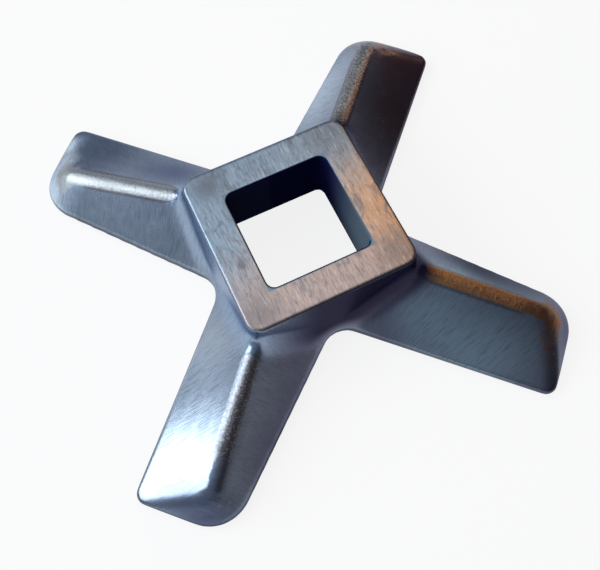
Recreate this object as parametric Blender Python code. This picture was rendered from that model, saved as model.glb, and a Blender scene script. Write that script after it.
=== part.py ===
"""Four-armed knife of a meat grinder: one steel casting with a square drive hole.

The cutting face lies in the plane z = 0 and the hub points up. X and Y are square to the flats of the
drive hole, so the arms lie on the diagonals. Seen from above, each arm has its straight cutting edge on its
clockwise side, called the front here, and its tapering edge on the other side, the back. Lengths are in
metres.

A quarter of the casting, one arm with its share of the hub, is laid out as a sheet over its plan. Each point
of the sheet is raised to the casting's rounded top, and four turned copies are welded and thickened down to
the cutting face.
"""
import math

import bmesh
import bpy
from mathutils import Matrix, Vector

# Hub and square drive hole
HOLE_WIDTH = 0.012
HOLE_CORNER_RADIUS = 0.001
HUB_TOP_WIDTH = 0.0195
HUB_HEIGHT = 0.0097
HUB_WALL_LEAN = 0.00085
HUB_CORNER_RADIUS = 0.0016
HUB_EDGE_BREAK = 0.0002

# Round recess under the hub, which leaves only the arms on the plate
RECESS_RADIUS = 0.0096
RECESS_DEPTH = 0.0020
RECESS_SIDES = 48

# Plan of an arm, measured along its centre line from the middle of the hub, and across it
ARM_COUNT = 4
ARM_LENGTH = 0.0323
FRONT_OFFSET = 0.0070
BACK_OFFSET_AT_CENTRE = 0.0076
BACK_OFFSET_AT_TIP = 0.0040
TIP_FRONT_RADIUS = 0.0012
TIP_BACK_RADIUS = 0.0044
GAP_RADIUS = 0.0028

# Section of an arm: an upright land all round, a front flank up to a crest, a slope down its back and tip
LAND_HEIGHT = 0.0011
CREST_HEIGHT_AT_HUB = 0.0076
CREST_HEIGHT_AT_TIP = 0.0042
BACK_SLOPE = math.radians(48.0)
CREST_RADIUS = 0.0011

# Rounds in the valleys between the flanks of two arms, and between the flanks and the hub
ARM_VALLEY_RADIUS = 0.0020
HUB_VALLEY_RADIUS = 0.0014

# How finely an arm's sections are drawn: places along it, and shares of its flank, crest and back slope
ARM_STEPS = 11
CORNER_STEPS = 8
FLANK_SHARES = (0.0, 0.25, 0.5, 0.75)
RIDGE_SHARES = (-1.0, -0.67, -0.33, 0.0, 0.33, 0.67, 1.0)
SLOPE_SHARES = (0.2, 0.4, 0.6, 0.8, 1.0)

# How finely the arm's root is drawn, from the hub's edge over the round of its valley to the arm's plan
ROOT_REACH = 0.0032
GAP_STEPS = 7
EDGE_STEPS = 4
CORNER_SHARES = (0.38, 0.64)
VALLEY_SHARES = (0.0, 0.03, 0.1, 0.2, 0.34, 0.52, 0.74, 1.0)
VALLEY_TOP_SHARE = 0.5
VALLEY_WIDTH_SHARE = 1.2
VALLEY_END_SHARE = 0.8
ROOT_SHARES = (0.25, 0.5, 0.75, 1.0)
FACE_ROWS = 2

HALVINGS = 30
OVERRUN = 0.002
WELD = 0.000002
FLAT = math.radians(0.05)
SHARP = math.radians(30)

STEEL_COLOUR = (0.27, 0.28, 0.32, 1.0)
STEEL_ROUGHNESS = 0.38


def between(low, high, share):
    """The value at a share of the way from low to high."""
    return low + (high - low) * share


def polar(centre, radius, bearing):
    """The point at a bearing on a circle in the plan."""
    return centre + Vector((math.cos(bearing), math.sin(bearing))) * radius


def crossing(distance, low, high):
    """Where a distance that grows from low to high passes zero."""
    for _ in range(HALVINGS):
        middle = (low + high) / 2
        if distance(middle) < 0:
            low = middle
        else:
            high = middle
    return (low + high) / 2


def round_union(first, second, radius):
    """Distance to the union of two forms, with the valley between them filled to a radius."""
    return max(radius, min(first, second)) - math.hypot(max(radius - first, 0), max(radius - second, 0))


def round_meeting(first, second, radius):
    """Distance to what two forms have in common, with the ridge between them rounded."""
    return min(-radius, max(first, second)) + math.hypot(max(radius + first, 0), max(radius + second, 0))


def back_offset(along):
    """Distance from the arm's centre line to its straight back edge."""
    return between(BACK_OFFSET_AT_CENTRE, BACK_OFFSET_AT_TIP, along / ARM_LENGTH)


def back_angle():
    """Angle between the back edge and the arm's centre line."""
    return math.atan2(BACK_OFFSET_AT_CENTRE - BACK_OFFSET_AT_TIP, ARM_LENGTH)


def back_round_centre():
    """Centre of the large round at the back of the tip, tangent to the tip and to the back edge."""
    along = ARM_LENGTH - TIP_BACK_RADIUS
    return Vector((along, back_offset(along) - TIP_BACK_RADIUS / math.cos(back_angle())))


def gap_round_centre():
    """Centre of the concave round between an arm's front edge and the back edge of the next arm."""
    across = -FRONT_OFFSET - GAP_RADIUS
    return Vector((back_offset(-across) + GAP_RADIUS / math.cos(back_angle()), across))


def gap_bearing():
    """Bearing of the front gap's middle from the middle of the hub. The back gap is a quarter turn on."""
    centre = gap_round_centre()
    return math.atan2(centre.y, centre.x)


def front_edge(along):
    """Across position of the plan's front edge, with the small round at the tip."""
    into = max(along - (ARM_LENGTH - TIP_FRONT_RADIUS), 0)
    return -FRONT_OFFSET + TIP_FRONT_RADIUS - math.sqrt(max(TIP_FRONT_RADIUS**2 - into**2, 0))


def back_edge(along):
    """Across position of the plan's back edge, with the large round at the tip."""
    centre = back_round_centre()
    into = along - centre.x
    if into < TIP_BACK_RADIUS * math.sin(back_angle()):
        return back_offset(along)
    return centre.y + math.sqrt(max(TIP_BACK_RADIUS**2 - into**2, 0))


def back_roof(along, across):
    """Height of the slope that rises from the back edge, round the tip's corner and from the tip."""
    centre = back_round_centre()
    reach = Vector((along, across)) - centre
    bearing = math.atan2(reach.y, reach.x)
    if 0 < bearing < math.pi / 2 - back_angle():
        inset = TIP_BACK_RADIUS - reach.length
    else:
        inset = min((back_offset(along) - across) * math.cos(back_angle()), ARM_LENGTH - along)
    return LAND_HEIGHT + inset * math.tan(BACK_SLOPE)


def crest(along):
    """Height of the sharp crest, which falls outwards in a straight line, and its across position."""
    hub_corner = HUB_TOP_WIDTH / math.sqrt(2)
    out = (along - hub_corner) / (ARM_LENGTH - hub_corner)
    height = between(CREST_HEIGHT_AT_HUB, CREST_HEIGHT_AT_TIP, out)
    inset = (height - LAND_HEIGHT) / math.tan(BACK_SLOPE) / math.cos(back_angle())
    return height, back_offset(along) - inset


def front_slope(along):
    """Steepness of the front flank, from the top of the land up to the crest."""
    height, across = crest(along)
    return (height - LAND_HEIGHT) / (across + FRONT_OFFSET)


def outside_arm(along, across, height):
    """Distance outside an arm's flanks and slopes. The arm starts at the middle of the hub."""
    slope = front_slope(along)
    front = (height - LAND_HEIGHT - (across + FRONT_OFFSET) * slope) / math.hypot(1, slope)
    back = (height - back_roof(along, across)) * math.cos(BACK_SLOPE)
    return max(round_meeting(front, back, CREST_RADIUS), -along)


def hub_half(height):
    """Half the hub's width at a height. Its walls lean in from the cutting face to the top."""
    return HUB_TOP_WIDTH / 2 + HUB_WALL_LEAN * (1 - height / HUB_HEIGHT)


def outside_hub(along, across, height):
    """Distance outside the hub's sloping walls, whose corners lie on the arms' centre lines."""
    inner = hub_half(height) - HUB_CORNER_RADIUS
    first = abs(along - across) / math.sqrt(2) - inner
    second = abs(along + across) / math.sqrt(2) - inner
    return math.hypot(max(first, 0), max(second, 0)) + min(max(first, second), 0) - HUB_CORNER_RADIUS


def outside_arms(along, across, height):
    """Distance outside an arm and its two neighbours."""
    arms = outside_arm(along, across, height)
    for turned in ((-across, along), (across, -along)):
        arms = round_union(arms, outside_arm(*turned, height), ARM_VALLEY_RADIUS)
    return arms


def top(along, across):
    """Height of the casting's top outside the hub's face, no lower than the land."""
    def outside(height):
        arms = outside_arms(along, across, height)
        return round_union(arms, outside_hub(along, across, height), HUB_VALLEY_RADIUS)
    return max(crossing(outside, -HUB_HEIGHT, HUB_HEIGHT), LAND_HEIGHT)


def ridge(along):
    """Across position where the front flank meets the slope of the back or the tip."""
    tip_height = (ARM_LENGTH - along) * math.tan(BACK_SLOPE)
    return min(crest(along)[1], tip_height / front_slope(along) - FRONT_OFFSET)


def ridge_reach(along):
    """How far the crest's round reaches across the front flank and across the back slope."""
    front = math.atan(front_slope(along))
    tangent = CREST_RADIUS * math.tan((front + BACK_SLOPE) / 2)
    return tangent * math.cos(front), tangent * math.cos(BACK_SLOPE)


def root_end():
    """Place along the arm where its root ends and its even sections begin."""
    return HUB_TOP_WIDTH / math.sqrt(2) + ROOT_REACH


def section(along):
    """Across positions of a section's points, closer together over the rounded crest."""
    front, back = front_edge(along), back_edge(along)
    middle = max(ridge(along), front)
    before, after = ridge_reach(along)
    before, after = min(before, middle - front), min(after, back - middle)
    places = [between(front, middle - before, share) for share in FLANK_SHARES]
    places += [middle + share * (before if share < 0 else after) for share in RIDGE_SHARES]
    return places + [between(middle + after, back, share) for share in SLOPE_SHARES]


def stations():
    """Places along the arm where its section is drawn: even to the tip's round, then closer together."""
    straight = back_round_centre().x
    places = [between(root_end(), straight, i / ARM_STEPS) for i in range(ARM_STEPS)]
    turns = [math.sin(math.pi / 2 * i / CORNER_STEPS) for i in range(CORNER_STEPS)]
    places += [straight + TIP_BACK_RADIUS * turn for turn in turns]
    start = ARM_LENGTH - TIP_FRONT_RADIUS
    places = [p for p in places if p < start - WELD]
    return places + [start + TIP_FRONT_RADIUS * turn for turn in turns] + [ARM_LENGTH]


def rounded_square(half, radius, share):
    """A point on a quarter of a rounded square, from the middle of the front gap to the back gap's."""
    start = half * math.tan(-math.pi / 4 - gap_bearing())
    straight = half - radius
    arc = radius * math.pi / 2
    walk = share * (straight * 2 + arc) - start
    if walk < straight:
        place = Vector((half, walk))
    elif walk < straight + arc:
        place = polar(Vector((straight, straight)), radius, (walk - straight) / radius)
    else:
        place = Vector((straight * 2 + arc - walk, half))
    return Matrix.Rotation(-math.pi / 4, 2) @ place


def root_outline():
    """Outer points of an arm's root: round the front gap, along the front edge, over a section and back."""
    centre = gap_round_centre()
    middle = gap_bearing() + math.pi
    bearings = [between(middle, math.pi / 2, i / GAP_STEPS) for i in range(GAP_STEPS)]
    points = [polar(centre, GAP_RADIUS, bearing) for bearing in bearings]
    end = root_end()
    points += [Vector((between(centre.x, end, i / EDGE_STEPS), -FRONT_OFFSET)) for i in range(EDGE_STEPS)]
    points += [Vector((end, across)) for across in section(end)]
    centre = Vector((-centre.y, centre.x))
    touch = -math.pi / 2 - back_angle()
    start = polar(centre, GAP_RADIUS, touch).x
    back = [between(end, start, i / EDGE_STEPS) for i in range(1, EDGE_STEPS)]
    points += [Vector((along, back_offset(along))) for along in back]
    middle = middle - math.pi * 3 / 2
    bearings = [between(touch, middle, i / GAP_STEPS) for i in range(GAP_STEPS + 1)]
    return points + [polar(centre, GAP_RADIUS, bearing) for bearing in bearings]


def hub_shares(count):
    """Shares of the hub's edge where the columns of an arm's root start, most of them round its corner."""
    side = GAP_STEPS + EDGE_STEPS
    first, last = CORNER_SHARES
    shares = [first * i / side for i in range(side)]
    middle = count - 2 * side
    shares += [between(first, last, i / (middle - 1)) for i in range(middle)]
    return shares + [between(last, 1, (i + 1) / side) for i in range(side)]


def root_column(share, outer):
    """Plan points from the hole's edge, over the hub and down its wall, to an outer point of the root."""
    edge_height = HUB_HEIGHT - HUB_EDGE_BREAK
    edge = rounded_square(hub_half(edge_height), HUB_CORNER_RADIUS, share)
    path = outer - edge
    valley = max(crossing(lambda height: outside_arms(*edge, height), -HUB_HEIGHT, HUB_HEIGHT), LAND_HEIGHT)
    round_height = min(valley + HUB_VALLEY_RADIUS, between(valley, edge_height, VALLEY_TOP_SHARE))
    start = crossing(lambda far: outside_hub(*(edge + path * far), round_height), 0, 1)
    width = HUB_VALLEY_RADIUS * VALLEY_WIDTH_SHARE / path.length
    finish = min(start + width, between(start, 1, VALLEY_END_SHARE))
    shares = [0.0] + [between(start, finish, s) for s in VALLEY_SHARES]
    shares += [between(finish, 1, s) for s in ROOT_SHARES]
    face = rounded_square(HUB_TOP_WIDTH / 2 - HUB_EDGE_BREAK, HUB_CORNER_RADIUS - HUB_EDGE_BREAK, share)
    hole = rounded_square(HOLE_WIDTH / 2, HOLE_CORNER_RADIUS, share)
    return [hole, face] + [edge + path * s for s in shares]


def raised_sheet(columns, face_rows):
    """A sheet over columns of plan points, raised to the top. Its first rows lie on the hub's face."""
    bm = bmesh.new()
    rows = len(columns[0])
    bmesh.ops.create_grid(bm, x_segments=len(columns) - 1, y_segments=rows - 1, size=1)
    for vert in bm.verts:
        column = round((vert.co.x + 1) / 2 * (len(columns) - 1))
        row = round((vert.co.y + 1) / 2 * (rows - 1))
        place = columns[column][row]
        vert.co = Vector((*place, HUB_HEIGHT if row < face_rows else top(*place)))
    return bm


def root():
    """A quarter of the hub and the arm's root as one sheet."""
    outline = root_outline()
    columns = [root_column(share, outer) for share, outer in zip(hub_shares(len(outline)), outline)]
    return raised_sheet(columns, FACE_ROWS)


def blade():
    """The rest of the arm as one sheet."""
    return raised_sheet([[Vector((along, across)) for across in section(along)] for along in stations()], 0)


def new_object(name, bm, collection):
    """An object in a collection, from a finished bmesh."""
    mesh = bpy.data.meshes.new(name)
    bm.to_mesh(mesh)
    bm.free()
    made = bpy.data.objects.new(name, mesh)
    collection.objects.link(made)
    return made


def new_collection(name):
    """A collection in the scene."""
    made = bpy.data.collections.new(name)
    bpy.context.scene.collection.children.link(made)
    return made


def casting(collection):
    """The casting: four turned copies of the two sheets, welded and thickened down to the cutting face."""
    bm = bmesh.new()
    for sheet in (root(), blade()):
        mesh = bpy.data.meshes.new("sheet")
        sheet.to_mesh(mesh)
        sheet.free()
        for number in range(ARM_COUNT):
            copy = mesh.copy()
            copy.transform(Matrix.Rotation(math.pi / 4 + number * 2 * math.pi / ARM_COUNT, 4, "Z"))
            bm.from_mesh(copy)
            bpy.data.meshes.remove(copy)
        bpy.data.meshes.remove(mesh)
    bmesh.ops.remove_doubles(bm, verts=bm.verts, dist=WELD)
    base = bmesh.ops.extrude_face_region(bm, geom=list(bm.faces))
    for item in base["geom"]:
        if isinstance(item, bmesh.types.BMVert):
            item.co.z = 0
    bmesh.ops.remove_doubles(bm, verts=bm.verts, dist=WELD)
    bmesh.ops.dissolve_degenerate(bm, dist=WELD, edges=bm.edges)
    bmesh.ops.recalc_face_normals(bm, faces=bm.faces)
    bmesh.ops.dissolve_limit(bm, angle_limit=FLAT, verts=bm.verts, edges=bm.edges)
    made = new_object("grinder_knife", bm, collection)
    made.data.shade_smooth()
    made.data.set_sharp_from_angle(angle=SHARP)
    return made


def recess(collection):
    """The tool for the round recess under the hub. It stays in the file as wires."""
    bm = bmesh.new()
    middle = Matrix.Translation((0, 0, (RECESS_DEPTH - OVERRUN) / 2))
    bmesh.ops.create_cone(bm, cap_ends=True, segments=RECESS_SIDES, radius1=RECESS_RADIUS,
                          radius2=RECESS_RADIUS, depth=RECESS_DEPTH + OVERRUN, matrix=middle)
    made = new_object("recess", bm, collection)
    made.display_type = "WIRE"
    made.hide_render = True
    return made


def steel():
    """Cast and ground steel with a bluish satin."""
    made = bpy.data.materials.new("knife_steel")
    made.use_nodes = True
    shader = made.node_tree.nodes["Principled BSDF"]
    shader.inputs["Base Color"].default_value = STEEL_COLOUR
    shader.inputs["Roughness"].default_value = STEEL_ROUGHNESS
    shader.inputs["Metallic"].default_value = 1.0
    return made


def main():
    for old in list(bpy.data.objects):
        bpy.data.objects.remove(old)
    knife = casting(new_collection("meat_grinder_knife"))
    cut = knife.modifiers.new("recess", "BOOLEAN")
    cut.operation = "DIFFERENCE"
    cut.object = recess(new_collection("cutters"))
    cut.solver = "EXACT"
    knife.data.materials.append(steel())


main()
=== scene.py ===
"""Meat grinder knife: a bluish steel casting, ground on its flanks and hub and grainy along its crests.

The knife lies flat with its hub up, and its four blades lie on the diagonals of X and Y. Lengths are in
metres, but the steel works in millimetres: its places, heights and reaches, and the depth of its relief.
"""
import math

import bmesh
import bpy
import numpy as np
from mathutils import Euler, Matrix, Vector

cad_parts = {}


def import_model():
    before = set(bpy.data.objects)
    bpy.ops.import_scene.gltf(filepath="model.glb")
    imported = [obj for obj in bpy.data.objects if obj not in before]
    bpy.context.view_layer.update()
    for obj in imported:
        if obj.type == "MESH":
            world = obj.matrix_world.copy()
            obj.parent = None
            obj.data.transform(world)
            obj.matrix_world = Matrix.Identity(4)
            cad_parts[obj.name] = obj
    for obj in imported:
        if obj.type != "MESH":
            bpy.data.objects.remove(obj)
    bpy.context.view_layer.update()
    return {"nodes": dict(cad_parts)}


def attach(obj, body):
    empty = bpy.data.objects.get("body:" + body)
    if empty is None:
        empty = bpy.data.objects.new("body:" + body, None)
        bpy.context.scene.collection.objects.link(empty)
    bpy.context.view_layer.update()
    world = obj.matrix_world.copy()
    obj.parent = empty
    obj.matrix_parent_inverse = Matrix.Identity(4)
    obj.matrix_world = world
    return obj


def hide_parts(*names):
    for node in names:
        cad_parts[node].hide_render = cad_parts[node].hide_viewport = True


KNIFE = "grinder_knife"
MM = 1000

# Fine skin of the casting. Steps of smoothing break its sharp edges, more on the blades than on the hub.
VOXEL = 0.00023
WELD = VOXEL / 100
SKIN_TURN = math.radians(45)
SMOOTHING = 0.5
HUB_ROUNDS = 1
BLADE_ROUNDS = 14
FLANK_ROUNDS = 4
FLANK_LOW, FLANK_HIGH = 0.0012, 0.0020
GROUP_LEVELS = 8

# Where the hub ends, and how soon the blades start beyond it
HUB_HALF = 0.0104
HUB_CLEARANCE = 0.0004
BLADE_TURN = math.radians(90)

# Crests and valleys: rounds of smoothing that wear a crest away, how far a full crest then stands out, and the
# heights between which crests begin
CREST_ROUNDS = 30
CREST_STANDOUT = 0.00007
CREST_LOW, CREST_HIGH = 0.0014, 0.0030

# Camera, worked out from the straight edges of the knife in the photograph
CAMERA_PLACE = Vector((-0.013481, -0.029785, 0.076269))
CAMERA_TURN = Euler([math.radians(a) for a in (20.732, 0.419, -25.697)])
CAMERA_LENS = 41.51
SENSOR_WIDTH = 36.0
CAMERA_NEAREST = 0.001

# Directions in the knife's plane: to the window, and along the blades as the camera sees them
TO_WINDOW = (-0.85, 0.53, 0.0)
TO_LOWER_RIGHT = (0.7, -0.7, 0.0)
TO_UPPER_RIGHT = (0.7, 0.7, 0.0)
TO_LOWER_LEFT = (-0.7, -0.7, 0.0)

# Studio: its dim side, its pale side and where one turns into the other
STUDIO_DIM = (0.07, 0.06, 0.07, 1)
STUDIO_PALE = (0.30, 0.34, 0.42, 1)
STUDIO_TURN = (-0.9, 0.4)

# Soft lamps: name, azimuth and elevation in degrees, distance, width, height, colour and radiance
LAMPS = (
    ("window", -69, 34, 0.45, 0.46, 0.24, (0.90, 0.96, 1.0), 4.8),
    ("ceiling", -20, 68, 0.50, 0.36, 0.40, (0.86, 0.95, 1.0), 0.65),
    ("warm_ceiling", 48, 66, 0.50, 0.22, 0.30, (1.0, 0.80, 0.62), 1.05),
    ("lamp", 58, 36, 0.45, 0.10, 0.26, (1.0, 0.62, 0.34), 1.5),
)

FLOOR_RADIUS = 6.0
FLOOR_GAP = 0.00005
FLOOR_SIDES = 64
FLOOR_PAINT = (0.9, 0.9, 0.9, 1)
BACKDROP_WHITE = (1, 1, 1, 1)
BACKDROP_SHARE = 0.85

# Satin of the flanks: painted shade away from the window and painted light towards it
SATIN_TURN = (-16.0, 12.0)
PLUM_SATIN = (0.16, 0.145, 0.20, 1)
BLUE_SATIN = (0.31, 0.37, 0.45, 1)

# Layers that a noise lays on: where in the noise they begin and are full, their share and their colour
TEAL_CLOUD = (0.40, 0.70, 0.35, (0.20, 0.27, 0.31, 1))
GREY_SMEAR = (0.50, 0.72, 0.75, (0.17, 0.19, 0.23, 1))
DARK_SCRATCH = (0.45, 0.70, 0.7, (0.15, 0.16, 0.18, 1))
BRIGHT_SCRATCH = (0.44, 0.28, 0.6, (0.66, 0.63, 0.60, 1))
DARK_PIT = (0.56, 0.72, 0.35, (0.16, 0.13, 0.12, 1))
GREY_RING = (0.35, 0.65, 0.5, (0.30, 0.31, 0.33, 1))
BROWN_CLOUD = (0.45, 0.75, 0.5, (0.30, 0.26, 0.22, 1))

# Painted light and shade in the satin: pale and teal spots are painted reflections and highlights, and dark
# blue, plum and brown ones are painted shade. Place, reach, share and colour. Noise moves their borders by up
# to half the waver.
WAVER = 4
DARK_BLUE = (0.08, 0.10, 0.18, 1)
PLUM = (0.065, 0.05, 0.11, 1)
DEEP_PLUM = (0.03, 0.02, 0.05, 1)
TEAL = (0.34, 0.46, 0.52, 1)
PALE_BLUE = (0.66, 0.80, 0.94, 1)
BROWN = (0.12, 0.05, 0.04, 1)
PAINTED_LIGHT_AND_SHADE = (
    ((-15, 21, 3), 9, 0.6, DARK_BLUE),
    ((-9, 15, 4), 8, 0.9, DARK_BLUE),
    ((-22, -23, 2), 8, 0.9, DARK_BLUE),
    ((-8, -16, 3), 12, 0.7, PLUM),
    ((-12, -20, 2), 9, 0.9, PLUM),
    ((19, -13, 2), 9, 1.0, DEEP_PLUM),
    ((13, -19, 2), 12, 1.0, TEAL),
    ((11, -13, 3), 8, 0.9, TEAL),
    ((24, -22, 2), 6, 0.7, PLUM),
    ((-24, 20, 1.5), 6, 1.0, PALE_BLUE),
    ((-17, -12, 3), 12, 0.5, PALE_BLUE),
    ((11, 20, 3), 12, 0.6, PALE_BLUE),
    ((-20.5, 22.5, 3), 2.4, 0.9, PALE_BLUE),
    ((-19.2, 25.2, 2), 2.4, 0.9, PALE_BLUE),
    ((25, 19, 3), 9, 0.7, BROWN),
    ((19, 12, 3), 10, 0.6, BROWN),
)

# Hub's drafted walls: how far out and how high up they are, and where they turn from plum painted shade to
# blue painted light
WALL_REACH = (12.4, 10.4)
WALL_FOOT = (1.0, 3.0)
WALL_HEAD = (9.69, 9.60)
WALL_TURN = (-4.0, 5.0)
WALL_PLUM = (0.09, 0.075, 0.15, 1)
WALL_BLUE = (0.33, 0.45, 0.60, 1)
WALL_TONE_SHARE = 0.85

# Hub's ground face: its height, and its outer rim's height and distance from the middle
FACE_HEIGHT = (9.4, 9.6)
RIM_HEIGHT = (9.2, 9.45)
RIM_REACH = (9.46, 9.64)
RIM_GREY = (0.12, 0.14, 0.18, 1)
RIM_SHARE = 0.6
# Where the hole begins, and the teal of a painted reflection in it
HOLE_REACH = (6.3, 6.1)
HOLE_TEAL = (0.17, 0.25, 0.32, 1)

# Painted cool and warm light on the face: blue towards the window, warm on its lower side, bronze on its
# right.
# Smears move the border.
TO_WARM = (0.35, -0.95, 0.0)
WARM_TURN = (-5.0, 5.0)
WARM_WAVER = 9
TO_BRONZE = (0.95, 0.3, 0.0)
BRONZE_TURN = (1.0, 8.0)
FACE_BLUE = (0.30, 0.39, 0.48, 1)
FACE_WARM = (0.45, 0.37, 0.35, 1)
FACE_BRONZE = (0.58, 0.36, 0.22, 1)

# Smudges on the ground face: place, reach and share
SMUDGE_GREY = (0.13, 0.14, 0.16, 1)
SMUDGES = (
    ((-7, 8, 9.7), 3.0, 0.7),
    ((-8, -8, 9.7), 3.5, 0.5),
    ((8.5, -8, 9.7), 4.5, 0.6),
    ((8, 8.5, 9.7), 5.0, 0.5),
)

# Crests: where a blade's own colour and painted light begin, and the bronze blade's, where the hip at a tip
# begins, and the line where a crest's painted shade turns. Noise moves the borders of the grainy band by up to
# half its waver.
BLADE_START = (8.0, 14.0)
BRONZE_START = (4.0, 14.0)
HIP_START = (24.5, 27.0)
CREST_LINE = (-0.3, 0.5)
LINE_SHARE = 0.8
BAND_WAVER = 0.5
BAND_START = (0.12, 0.40)
# Crest tones that differ by blade as painted light and shade, bronze for a painted warm highlight. Beside the
# crest's line, the upper right blade has a painted bronze highlight and the lower left one painted dark shade.
CREST_GREY = (0.37, 0.40, 0.42, 1)
CREST_BLUE = (0.40, 0.45, 0.52, 1)
CREST_DARK_GREY = (0.27, 0.27, 0.27, 1)
CREST_BRONZE = (0.45, 0.22, 0.085, 1)
LINE_BRONZE = (0.52, 0.25, 0.10, 1)
LINE_DARK = (0.07, 0.06, 0.065, 1)

# Grain of the crests: colours, where in their noise they begin and are full, and their shares. Sparks are
# painted glints, denser on the upper right blade; grain is denser on the bronze one, and dashes fade at the
# hips.
PALE_SPARK = (0.66, 0.65, 0.63, 1)
BRONZE_SPARK = (0.66, 0.36, 0.12, 1)
SPARK_START = (0.50, 0.62)
SPARK_SHARE = 0.45
UPPER_RIGHT_SPARK_SHARE = 0.4
BLACK_PIT = (0.05, 0.05, 0.05, 1)
BLACK_PIT_START = (0.46, 0.36)
BLACK_PIT_SHARE = 0.8
# Painted shade on the bronze blade's hip
HIP_BROWN = (0.05, 0.03, 0.025, 1)
HIP_SHARE = 0.45
GRAIN_BROWN = (0.10, 0.075, 0.06, 1)
GRAIN_START = (0.52, 0.66)
GRAIN_SHARE = 0.25
BRONZE_GRAIN_SHARE = 0.3
DASH_GREY = (0.13, 0.12, 0.12, 1)
DASH_START = (0.45, 0.70)
DASH_SHARE = 0.5
HIP_DASH_SHARE = 0.3

# Brown painted shade beside the grain, painted shade in the valleys, and the grinding strokes, which slant in
# front of the crests
BORDER_START = (0.0, 0.20)
BORDER_FADE = (0.0, 0.5)
BORDER_BROWN = (0.10, 0.07, 0.055, 1)
BORDER_SHARE = 0.6
VALLEY_BLUE = (0.12, 0.12, 0.18, 1)
VALLEY_SHARE = 0.4
STROKE_BLUE = (0.09, 0.10, 0.15, 1)
STROKE_START = (0.45, 0.75)
STROKE_SHARE = 0.45
BRONZE_SLANT = 1.6

# Ground cutting face under the knife
UNDERSIDE_HEIGHT = (0.15, 0.03)
PLATE_PALE = (0.46, 0.48, 0.50, 1)

# Noises: scale per millimetre, detail, roughness, stretch by axis and distortion
NOISE_MIDDLE = 0.5
CLOUDS = (0.22, 3.0)
PATCHES = (0.7, 3.0)
SMEARS = (0.55, 4.0, 0.6, (1.6, 0.8, 1.0), 1.2)
STREAKS = (1.5, 4.0, 0.7, (3.2, 0.45, 1.0), 0.4)
SPECKS = (5.0, 3.0, 0.7)
GRAIN = (2.8, 4.0, 0.75)
DASHES = (1.0, 4.0, 0.7, (4.5, 1.6, 1.6), 0.5)
STROKES = (1.0, 3.0, 0.6, (6.0, 0.6, 0.6))
RINGS = (6.0, 3.0, 0.6)

# Depths of the relief
STROKE_DEPTH = 0.010
GRAIN_DEPTH = 0.05
DASH_DEPTH = 0.07
HIP_DASH_LOSS = 0.05
STREAK_DEPTH = 0.010
SPECK_DEPTH = 0.004

# Roughness of the satin, and what noise, grain, valleys and the ground face add to it
SATIN_ROUGHNESS = 0.22
PATCH_ROUGHNESS = 0.08
GRAIN_ROUGHNESS = 0.08
VALLEY_ROUGHNESS = 0.10
FACE_ROUGHNESS = 0.10

# Dull, dark steel: dark scale and painted shade in the hole, and painted shade on the hub's shaded walls, on
# the land along the blades and on some slopes
STEEL_TINT = (0.64, 0.68, 0.78, 1)
DULL_ROUGHNESS = 0.6
HOLE_CORE = (5.0, 5.0, 0.0)
HOLE_WALL = (1.22, 1.08)
HOLE_NAVY = (0.007, 0.008, 0.045, 1)
# Slate painted light on the hole's wall that the light reaches
LIT_WALL_REACH = (5.8, 6.0)
LIT_WALL_TURN = (-5.0, 5.0)
LIT_SLATE = (0.11, 0.15, 0.19, 1)
# Near black painted shade
PAINTED_SHADE_PLUM = (0.011, 0.010, 0.030, 1)
SHADED_TURN = (4.0, -4.0)
LAND_HEIGHT = (1.40, 0.95)
HOLE_SCALE_AND_SHADE_SHARE = 0.99
WALL_PAINTED_SHADE_SHARE = 0.80
LAND_PAINTED_SHADE_SHARE = 0.55
# Painted shade on slopes: place, reach and share
SHADES = (
    ((19, -13, 2), 11, 0.9),
    ((17, -10, 3), 6, 0.5),
    ((-12, -20, 2), 10, 0.4),
)


class Wire:
    """A shader socket that takes part in Python sums. Each operator adds one Math node."""

    def __init__(self, sheet, socket):
        self.sheet = sheet
        self.socket = socket

    def math(self, operation, *others):
        """One Math node."""
        return self.sheet.node("Math", {"operation": operation}, self, *others)

    def __add__(self, other):
        return self.math("ADD", other)

    def __sub__(self, other):
        return self.math("SUBTRACT", other)

    def __rsub__(self, other):
        return self.sheet.node("Math", {"operation": "SUBTRACT"}, other, self)

    def __mul__(self, other):
        return self.math("MULTIPLY", other)

    __radd__ = __add__
    __rmul__ = __mul__

    def ramp(self, low, high):
        """0 below low and 1 above high, smooth between them. It falls instead if low is above high."""
        rising = low < high
        return self.sheet.node("MapRange", {"interpolation_type": "SMOOTHSTEP"}, self, min(low, high),
                               max(low, high), 0.0 if rising else 1.0, 1.0 if rising else 0.0)


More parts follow.
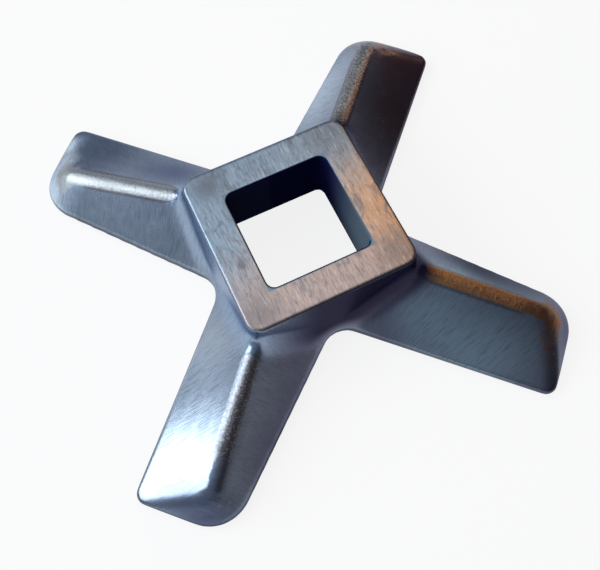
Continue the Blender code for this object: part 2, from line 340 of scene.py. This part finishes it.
class Sheet:
    """The node sheet of one material or of the world."""

    def __init__(self, owner):
        owner.use_nodes = True
        self.tree = owner.node_tree
        self.tree.nodes.clear()

    def node(self, kind, settings, *values, output=0, **named):
        """Add a node, set it up, and give its sockets their values or links. Returns one output as a Wire."""
        made = self.tree.nodes.new("ShaderNode" + kind)
        for name, value in settings.items():
            setattr(made, name, value)
        for place, value in [*enumerate(values), *named.items()]:
            if isinstance(place, str):
                place = place.replace("_", " ")
            self.feed(made.inputs[place], value)
        return Wire(self, made.outputs[output]) if made.outputs else None

    def feed(self, socket, value):
        """Link a Wire to a socket, or set the socket's value."""
        if isinstance(value, Wire):
            self.tree.links.new(value.socket, socket)
        else:
            socket.default_value = value

    def mix(self, share, first, second):
        """A colour between two colours."""
        made = self.tree.nodes.new("ShaderNodeMix")
        made.data_type = "RGBA"
        for name, value in (("Factor_Float", share), ("A_Color", first), ("B_Color", second)):
            self.feed(next(s for s in made.inputs if s.identifier == name), value)
        return Wire(self, next(s for s in made.outputs if s.identifier == "Result_Color"))

    def vector(self, operation, first, *others):
        """A vector worked out from others."""
        return self.node("VectorMath", {"operation": operation}, first, *others)

    def measure(self, operation, first, *others):
        """A number worked out from vectors."""
        return self.node("VectorMath", {"operation": operation}, first, *others, output="Value")

    def along(self, vector, direction):
        """How far a vector reaches in a direction."""
        return self.measure("DOT_PRODUCT", vector, direction)

    def axis(self, vector, name):
        """A vector's X, Y or Z."""
        return self.node("SeparateXYZ", {}, vector, output=name)

    def noise(self, vector, scale, detail=2.0, roughness=0.5, stretch=None, distortion=0.0):
        """Noise between 0 and 1 over a vector, which stretch scales by axis."""
        if stretch:
            vector = self.vector("MULTIPLY", vector, stretch)
        return self.node("TexNoise", {}, vector, Scale=scale, Detail=detail, Roughness=roughness,
                         Distortion=distortion, output="Fac")


class SteelSheet(Sheet):
    """The steel's node sheet: the places, masks and noises that its layers share, and the layers."""

    def __init__(self, owner):
        super().__init__(owner)
        in_metres = self.node("TexCoord", {}, output="Object")
        self.place = self.node("VectorMath", {"operation": "SCALE"}, in_metres, Scale=MM)
        self.height = self.axis(self.place, "Z")
        self.toward_window = self.along(self.place, TO_WINDOW)
        self.from_axes = self.vector("ABSOLUTE", self.place)
        self.from_middle = self.axis(self.from_axes, "X").math("MAXIMUM", self.axis(self.from_axes, "Y"))
        self.crest = self.kept("crest", "Fac")
        self.valley = self.kept("valley", "Fac")
        self.bench = self.kept("bench", "Vector")

        self.clouds = self.noise(self.place, *CLOUDS)
        self.streaks = self.noise(self.place, *STREAKS)
        self.specks = self.noise(self.place, *SPECKS)
        self.grain = self.noise(self.place, *GRAIN)
        self.dashes = self.noise(self.bench, *DASHES)

        self.face = self.height.ramp(*FACE_HEIGHT)
        self.under = self.height.ramp(*UNDERSIDE_HEIGHT)
        wall_height = self.height.ramp(*WALL_FOOT) * self.height.ramp(*WALL_HEAD)
        self.walls = self.from_middle.ramp(*WALL_REACH) * wall_height
        self.bronze_blade = self.along(self.place, TO_LOWER_RIGHT).ramp(*BRONZE_START)
        self.upper_right = self.along(self.place, TO_UPPER_RIGHT).ramp(*BLADE_START)
        self.lower_left = self.along(self.place, TO_LOWER_LEFT).ramp(*BLADE_START)
        self.hip = self.axis(self.bench, "X").ramp(*HIP_START)
        ragged = self.crest + self.dashes * BAND_WAVER - BAND_WAVER / 2
        self.band = ragged.ramp(*BAND_START) * (1 - self.lower_left * self.hip)
        self.plain = (1 - self.band) * (1 - self.face)
        self.strokes = self.noise(self.slanted(), *STROKES)

    def kept(self, name, output):
        """What the skin's points keep under a name."""
        return self.node("Attribute", {"attribute_name": name}, output=output)

    def near(self, spot, reach, noise=None):
        """1 at a spot and 0 at its reach and beyond. Noise makes the border uneven."""
        gap = self.measure("DISTANCE", self.place, spot)
        if noise is not None:
            gap = gap + noise * WAVER - WAVER / 2
        return gap.ramp(reach, 0.0)

    def slanted(self):
        """Places on the blade, sheared in front of the crest, and the other way on the bronze blade."""
        in_front = self.axis(self.bench, "Y").math("MINIMUM", 0.0)
        lean = self.node("CombineXYZ", {}, in_front * (1 - self.bronze_blade * BRONZE_SLANT))
        return self.vector("ADD", self.bench, lean)

    def lay(self, colour, noise, layer):
        """A layer over a colour, where its noise is strong."""
        start, full, share, tone = layer
        return self.mix(noise.ramp(start, full) * share, colour, tone)

    def satin(self):
        """Blued satin with clouds, painted shade away from the window, painted light towards it and painted
        spots.
        """
        colour = self.mix(self.toward_window.ramp(*SATIN_TURN), PLUM_SATIN, BLUE_SATIN)
        colour = self.lay(colour, self.clouds, TEAL_CLOUD)
        # Spots of painted light and shade
        for spot, reach, share, painted_tone in PAINTED_LIGHT_AND_SHADE:
            colour = self.mix(self.near(spot, reach, self.clouds) * share, colour, painted_tone)
        return colour

    def hub_walls(self, colour):
        """The hub's drafted walls: plum painted shade away from the window, blue painted light towards it."""
        wall = self.mix(self.toward_window.ramp(*WALL_TURN), WALL_PLUM, WALL_BLUE)
        return self.mix(self.walls * WALL_TONE_SHARE, colour, wall)

    def ground_face(self, colour):
        """The hub's ground face with its painted light, smears, smudges, scratches and pits, its rim and the
        hole's edge.
        """
        smears = self.noise(self.place, *SMEARS)
        # Painted cool light towards the window, and painted warm light on the lower side and the right
        warmth = self.along(self.place, TO_WARM) + smears * WARM_WAVER - WARM_WAVER / 2
        warm = self.mix(self.along(self.place, TO_BRONZE).ramp(*BRONZE_TURN), FACE_WARM, FACE_BRONZE)
        ground = self.mix(warmth.ramp(*WARM_TURN), FACE_BLUE, warm)
        ground = self.lay(ground, smears, GREY_SMEAR)
        for spot, reach, share in SMUDGES:
            ground = self.mix(self.near(spot, reach, self.streaks) * share, ground, SMUDGE_GREY)
        ground = self.lay(ground, self.streaks, DARK_SCRATCH)
        ground = self.lay(ground, self.streaks, BRIGHT_SCRATCH)
        ground = self.lay(ground, self.specks, DARK_PIT)
        colour = self.mix(self.face, colour, ground)
        rim = self.from_middle.ramp(*RIM_REACH) * self.height.ramp(*RIM_HEIGHT)
        colour = self.mix(rim * RIM_SHARE, colour, RIM_GREY)
        # A teal painted reflection in the hole
        return self.mix(self.from_middle.ramp(*HOLE_REACH), colour, HOLE_TEAL)

    def crest_tone(self):
        """A crest's painted light and shade on each blade, before its grain. The painted shade turns along the
        crest's line.
        """
        tone = self.mix(self.lower_left, CREST_GREY, CREST_BLUE)
        tone = self.mix(self.upper_right, tone, CREST_DARK_GREY)
        tone = self.mix(self.bronze_blade, tone, CREST_BRONZE)
        line_side = self.along(self.place, TO_LOWER_RIGHT).ramp(*CREST_LINE) * (1 - self.bronze_blade)
        tone = self.mix(line_side * self.upper_right * LINE_SHARE, tone, LINE_BRONZE)
        return self.mix(line_side * self.lower_left * LINE_SHARE, tone, LINE_DARK)

    def crests(self, colour):
        """The crests' cast grain with its painted glints, pits and dashes, its brown border of painted shade
        and painted shade in the valleys.
        """
        ridge = self.crest_tone()
        # Painted glints on the crests' grain, bronze on the bronze blade
        spark = self.mix(self.bronze_blade, PALE_SPARK, BRONZE_SPARK)
        sparks = SPARK_SHARE + self.upper_right * UPPER_RIGHT_SPARK_SHARE
        ridge = self.mix(self.specks.ramp(*SPARK_START) * sparks, ridge, spark)
        pits = self.specks.ramp(*BLACK_PIT_START) * self.upper_right
        ridge = self.mix(pits * BLACK_PIT_SHARE, ridge, BLACK_PIT)
        # Painted shade on the bronze blade's hip
        ridge = self.mix(self.hip * self.bronze_blade * HIP_SHARE, ridge, HIP_BROWN)
        grains = GRAIN_SHARE + self.bronze_blade * BRONZE_GRAIN_SHARE
        ridge = self.mix(self.grain.ramp(*GRAIN_START) * grains, ridge, GRAIN_BROWN)
        dashes = DASH_SHARE - self.hip * HIP_DASH_SHARE
        ridge = self.mix(self.dashes.ramp(*DASH_START) * dashes, ridge, DASH_GREY)
        # A brown border of painted shade beside the grain
        border = (self.crest.ramp(*BORDER_START) - self.band) * (1 - self.hip) * (1 - self.lower_left)
        colour = self.mix(border.ramp(*BORDER_FADE) * BORDER_SHARE, colour, BORDER_BROWN)
        colour = self.mix(self.band, colour, ridge)
        # Painted shade in the valleys
        return self.mix(self.valley * VALLEY_SHARE, colour, VALLEY_BLUE)

    def underside(self, colour):
        """The ground cutting face with its turning marks."""
        from_axis = self.measure("LENGTH", self.place)
        rings = self.noise(self.node("CombineXYZ", {}, from_axis, self.height), *RINGS)
        plate = self.lay(PLATE_PALE, rings, GREY_RING)
        plate = self.lay(plate, self.clouds, BROWN_CLOUD)
        return self.mix(self.under, colour, plate)

    def stroke_marks(self, colour):
        """Grinding strokes on the flanks and slopes."""
        return self.mix(self.strokes.ramp(*STROKE_START) * self.plain * STROKE_SHARE, colour, STROKE_BLUE)

    def roughness(self):
        """Finest on the satin, and coarser on the grain, in the valleys and on the ground face."""
        patches = self.noise(self.place, *PATCHES)
        rough = SATIN_ROUGHNESS + patches * PATCH_ROUGHNESS + self.band * GRAIN_ROUGHNESS
        return rough + self.valley * VALLEY_ROUGHNESS + self.face * FACE_ROUGHNESS

    def relief(self):
        """Strokes on the flanks, cast grain on the crests and scratches on the hub's face."""
        on_flanks = (self.strokes - NOISE_MIDDLE) * STROKE_DEPTH * self.plain
        grains = (self.grain - NOISE_MIDDLE) * GRAIN_DEPTH
        dashes = (self.dashes - NOISE_MIDDLE) * (DASH_DEPTH - self.hip * HIP_DASH_LOSS)
        on_crests = (grains + dashes) * self.band
        on_face = (self.streaks * STREAK_DEPTH + self.specks * SPECK_DEPTH) * self.face
        return self.node("Bump", {}, Strength=1.0, Distance=1.0 / MM, Height=on_flanks + on_crests + on_face)

    def hole(self):
        """1 on the hole's walls. The hole is a square core with a rounded reach about it."""
        past_core = self.vector("SUBTRACT", self.from_axes, HOLE_CORE)
        past_core = self.vector("MAXIMUM", past_core, (0.0, 0.0, 0.0))
        past_core = self.vector("MULTIPLY", past_core, (1.0, 1.0, 0.0))
        return self.measure("LENGTH", past_core).ramp(*HOLE_WALL)

    def dark_scale_and_shade_colour(self, hole):
        """Painted shade, near black; navy with dark scale in the hole; slate painted light on the hole's lit
        wall.
        """
        lit = self.along(self.place, (1.0, 0.0, 0.0)).ramp(*LIT_WALL_REACH)
        lit = lit * self.along(self.place, (0.0, -1.0, 0.0)).ramp(*LIT_WALL_TURN)
        return self.mix(lit * hole, self.mix(hole, PAINTED_SHADE_PLUM, HOLE_NAVY), LIT_SLATE)

    def dark_scale_and_shade(self, hole):
        """How much steel is dull and dark: dark scale and painted shade in the hole, painted shade elsewhere.
        """
        land = self.height.ramp(*LAND_HEIGHT) * (1 - self.under)
        for spot, reach, share in SHADES:
            land = land + self.near(spot, reach) * share
        walls = self.walls * self.toward_window.ramp(*SHADED_TURN)
        # Dark scale and painted shade in the hole, and painted shade on the walls, the land and the slopes
        dark_scale_and_shade = hole * HOLE_SCALE_AND_SHADE_SHARE + walls * WALL_PAINTED_SHADE_SHARE + land * LAND_PAINTED_SHADE_SHARE
        return dark_scale_and_shade.math("MINIMUM", 1.0)


def link(made):
    """Put an object into the scene."""
    bpy.context.scene.collection.objects.link(made)
    return made


def camera():
    """The photograph's camera."""
    data = bpy.data.cameras.new("camera")
    data.sensor_width = SENSOR_WIDTH
    data.lens = CAMERA_LENS
    data.clip_start = CAMERA_NEAREST
    made = link(bpy.data.objects.new("camera", data))
    made.location = CAMERA_PLACE
    made.rotation_euler = CAMERA_TURN
    bpy.context.scene.camera = made


def world():
    """A quiet studio, cool and paler on the window's side and dim on the other."""
    made = bpy.data.worlds.new("studio")
    bpy.context.scene.world = made
    sheet = Sheet(made)
    direction = sheet.node("TexCoord", {}, output="Generated")
    colour = sheet.mix(sheet.along(direction, TO_WINDOW).ramp(*STUDIO_TURN), STUDIO_DIM, STUDIO_PALE)
    shade = sheet.node("Background", {}, Color=colour, Strength=1.0)
    sheet.node("OutputWorld", {}, shade)


def softbox(name, azimuth, elevation, distance, width, height, colour, radiance):
    """A rectangular soft light that looks at the knife. Its azimuth runs from +Y towards +X."""
    turn, lift = math.radians(azimuth), math.radians(elevation)
    data = bpy.data.lights.new(name, "AREA")
    data.shape = "RECTANGLE"
    data.size = width
    data.size_y = height
    data.color = colour
    data.energy = radiance * math.pi * width * height
    made = link(bpy.data.objects.new(name, data))
    made.location = Vector((math.sin(turn) * math.cos(lift), math.cos(turn) * math.cos(lift), math.sin(lift)))
    made.location *= distance
    made.rotation_euler = (-made.location).to_track_quat("-Z", "Y").to_euler()


def floor():
    """A plain white floor that keeps the knife's shadow."""
    bm = bmesh.new()
    bmesh.ops.create_circle(bm, cap_ends=True, segments=FLOOR_SIDES, radius=FLOOR_RADIUS,
                            matrix=Matrix.Translation((0, 0, -FLOOR_GAP)))
    mesh = bpy.data.meshes.new("floor")
    bm.to_mesh(mesh)
    bm.free()
    made = link(bpy.data.objects.new("floor", mesh))
    mesh.materials.append(floor_white())


def floor_white():
    """White paint that the camera and reflections see as a white backdrop with a soft shadow on it."""
    made = bpy.data.materials.new("floor_white")
    sheet = Sheet(made)
    matt = sheet.node("BsdfPrincipled", {}, Base_Color=FLOOR_PAINT, Roughness=1.0)
    glow = sheet.node("Emission", {}, Color=BACKDROP_WHITE, Strength=1.0)
    seen = sheet.node("LightPath", {}, output="Is Camera Ray")
    mirrored = sheet.node("LightPath", {}, output="Is Glossy Ray")
    passed = sheet.node("LightPath", {}, output="Is Transmission Ray")
    both = sheet.node("MixShader", {}, (seen + mirrored + passed) * BACKDROP_SHARE, matt, glow)
    sheet.node("OutputMaterial", {}, both)
    return made


def evaluated(made):
    """The mesh that an object's modifiers make."""
    return bpy.data.meshes.new_from_object(made.evaluated_get(bpy.context.evaluated_depsgraph_get()))


def settle(made):
    """Make what an object's modifiers do a part of its mesh."""
    made.data = evaluated(made)
    made.modifiers.clear()


def smooth_steps(made, rounds, group=""):
    """A smoothing modifier of some rounds, on all points or as much as a group of them says."""
    step = made.modifiers.new("smooth", "SMOOTH")
    step.factor = SMOOTHING
    step.iterations = rounds
    step.vertex_group = group


def turned_form(node):
    """A copy of the casting turned so that its blades lie along X and Y, as the skin's squares do."""
    bm = bmesh.new()
    bm.from_mesh(node.data)
    bmesh.ops.remove_doubles(bm, verts=bm.verts, dist=WELD)
    bmesh.ops.rotate(bm, verts=bm.verts, matrix=Matrix.Rotation(SKIN_TURN, 3, "Z"))
    mesh = bpy.data.meshes.new("knife_form")
    bm.to_mesh(mesh)
    bm.free()
    return link(bpy.data.objects.new("knife_form", mesh))


def skin(node):
    """A fine, evenly meshed copy of the casting, with its sharp edges a little broken."""
    form = turned_form(node)
    made = link(bpy.data.objects.new("knife_skin", form.data.copy()))
    remesh = made.modifiers.new("remesh", "REMESH")
    remesh.mode = "VOXEL"
    remesh.voxel_size = VOXEL
    wrap = made.modifiers.new("wrap", "SHRINKWRAP")
    wrap.target = form
    wrap.wrap_method = "NEAREST_SURFACEPOINT"
    smooth_steps(made, HUB_ROUNDS)
    settle(made)
    bpy.data.objects.remove(form)
    x, y, z = points_of(made.data).T
    group_points(made, "blades", off_hub(x, y))
    group_points(made, "flanks", off_hub(x, y) * rise(z, FLANK_LOW, FLANK_HIGH))
    smooth_steps(made, BLADE_ROUNDS, "blades")
    smooth_steps(made, FLANK_ROUNDS, "flanks")
    settle(made)
    made.vertex_groups.clear()
    keep_marks(made)
    made.data.transform(Matrix.Rotation(-SKIN_TURN, 4, "Z"))
    made.data.name = "knife_skin"
    made.data.shade_smooth()
    return made


def rise(values, low, high):
    """0 below low and 1 above high, even between them."""
    return np.clip((values - low) / (high - low), 0, 1)


def off_hub(x, y):
    """0 on the hub and 1 on the blades, while the skin is turned."""
    reach = np.maximum(abs(x + y), abs(x - y)) / math.sqrt(2)
    return rise(reach, HUB_HALF, HUB_HALF + HUB_CLEARANCE)


def group_points(made, name, weights):
    """A group of points, each with its weight."""
    group = made.vertex_groups.new(name=name)
    for level in range(1, GROUP_LEVELS + 1):
        points = np.flatnonzero(np.round(weights * GROUP_LEVELS) == level)
        group.add(points.tolist(), level / GROUP_LEVELS, "REPLACE")


def points_of(mesh):
    """The places of the mesh's points."""
    places = np.empty(len(mesh.vertices) * 3, np.float32)
    mesh.attributes["position"].data.foreach_get("vector", places)
    return places.reshape(-1, 3)


def standout(made, rounds):
    """How far each point stands out of a smoother copy of the mesh: above 0 on crests, below it in valleys."""
    smooth_steps(made, rounds)
    softer = evaluated(made)
    made.modifiers.clear()
    normals = np.empty(len(softer.vertices) * 3, np.float32)
    made.data.vertex_normals.foreach_get("vector", normals)
    apart = points_of(made.data) - points_of(softer)
    bpy.data.meshes.remove(softer)
    return (apart * normals.reshape(-1, 3)).sum(axis=1)


def keep_marks(made):
    """Keep for the steel where the crests and valleys are, and where on its blade each point is."""
    mesh = made.data
    crest = standout(made, CREST_ROUNDS) / CREST_STANDOUT
    x, y, z = points_of(mesh).T
    turns = np.round(np.arctan2(y, x) / BLADE_TURN) * BLADE_TURN
    along = x * np.cos(turns) + y * np.sin(turns)
    across = y * np.cos(turns) - x * np.sin(turns)
    keep(mesh, "crest", "FLOAT", np.clip(crest, 0, 1) * rise(z, CREST_LOW, CREST_HIGH) * off_hub(x, y))
    keep(mesh, "valley", "FLOAT", np.clip(-crest, 0, 1))
    keep(mesh, "bench", "FLOAT_VECTOR", np.stack([along, across, z], axis=1) * MM)


def keep(mesh, name, kind, values):
    """Keep a number or a vector with each of the mesh's points."""
    made = mesh.attributes.new(name, kind, "POINT")
    made.data.foreach_set("value" if kind == "FLOAT" else "vector", values.astype(np.float32).ravel())


def steel():
    """Cast steel with a bluish satin, painted warm light on one side of the hub, and dull with scale and
    painted shade.
    """
    made = bpy.data.materials.new("knife_steel")
    sheet = SteelSheet(made)
    colour = sheet.satin()
    for layer in (sheet.hub_walls, sheet.ground_face, sheet.crests, sheet.underside, sheet.stroke_marks):
        colour = layer(colour)
    relief = sheet.relief()
    bright = sheet.node("BsdfPrincipled", {}, Base_Color=colour, Roughness=sheet.roughness(), Metallic=1.0,
                        Normal=relief, Specular_Tint=STEEL_TINT)
    hole = sheet.hole()
    dull = sheet.node("BsdfPrincipled", {}, Base_Color=sheet.dark_scale_and_shade_colour(hole), Roughness=DULL_ROUGHNESS,
                      Normal=relief, Specular_IOR_Level=0.0)
    shader = sheet.node("MixShader", {}, sheet.dark_scale_and_shade(hole), bright, dull)
    sheet.node("OutputMaterial", {}, shader)
    return made


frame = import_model()
camera()
world()
for lamp in LAMPS:
    softbox(*lamp)
floor()
knife = skin(frame["nodes"][KNIFE])
knife.data.materials.clear()
knife.data.materials.append(steel())
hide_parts(KNIFE)
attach(knife, "root")
bpy.context.scene.view_settings.view_transform = "Standard"
